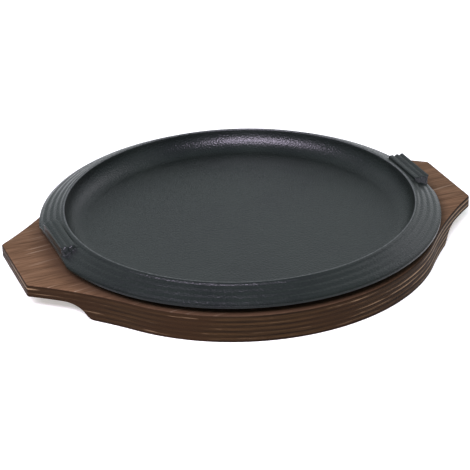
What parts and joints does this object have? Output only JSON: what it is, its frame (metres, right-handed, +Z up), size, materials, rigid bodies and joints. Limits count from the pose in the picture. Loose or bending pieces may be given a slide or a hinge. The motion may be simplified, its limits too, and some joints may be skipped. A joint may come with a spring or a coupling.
{
  "type": "cast iron serving dish",
  "caption": "Round cast iron serving dish with a stepped rim and two grip lugs, standing in a pocket of a dark plywood board with two tab handles.",
  "frame": {"origin": "on the table, under the middle of the board", "axes": "+Z up; X along the two handles; Y across them"},
  "size_m": [0.2806, 0.2397, 0.0307],
  "materials": {
    "cast_iron": "matt seasoned casting",
    "stained_plywood": "dark walnut stain, satin"
  },
  "bodies": {
    "root": {"cast_iron_plate": "cast_iron", "wooden_base": "stained_plywood"}
  },
  "joints": []
}
